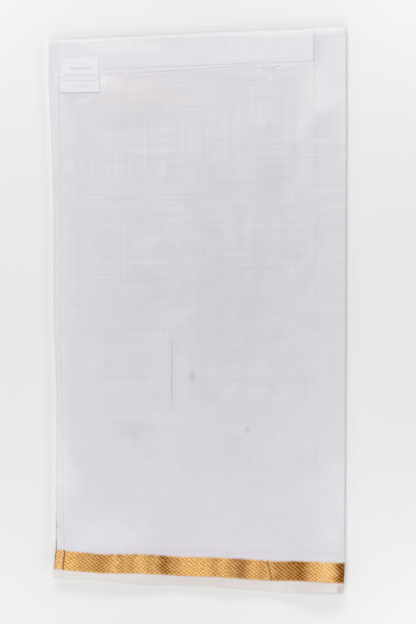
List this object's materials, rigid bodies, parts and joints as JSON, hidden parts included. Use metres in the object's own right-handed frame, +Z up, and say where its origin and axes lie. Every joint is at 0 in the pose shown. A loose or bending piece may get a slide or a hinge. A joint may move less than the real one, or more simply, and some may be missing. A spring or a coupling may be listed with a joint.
{
  "type": "folded dhoti",
  "caption": "White cotton dhoti folded into a flat rectangular packet, with a woven gold border along its foot, a stitched waist strip and a plain label.",
  "frame": {"origin": "middle of the packet's underside, on the surface that it lies on", "axes": "+X along the gold border from the hemmed end to the side fold, +Y from the gold border to the fold at the head, +Z up through the folded plies"},
  "size_m": [0.3433, 0.6499, 0.0107],
  "materials": {
    "white_cotton": "plain-woven white cotton, matt with a faint sheen",
    "doubled_cotton": "the same cotton doubled, so a little whiter",
    "white_selvedge": "dense plain-woven cotton selvedge, warm white",
    "gold_zari": "woven metallic gold thread in a small diamond lattice",
    "white_satin": "white satin label, left plain",
    "folded_cotton": "plain-woven white cotton, seen edge-on in its folds"
  },
  "bodies": {
    "root": {"hidden_layers": "folded_cotton", "body_cloth": "white_cotton", "gold_border": "gold_zari", "selvedge": "white_selvedge", "waist_strip": "doubled_cotton", "label": "white_satin"}
  },
  "joints": []
}
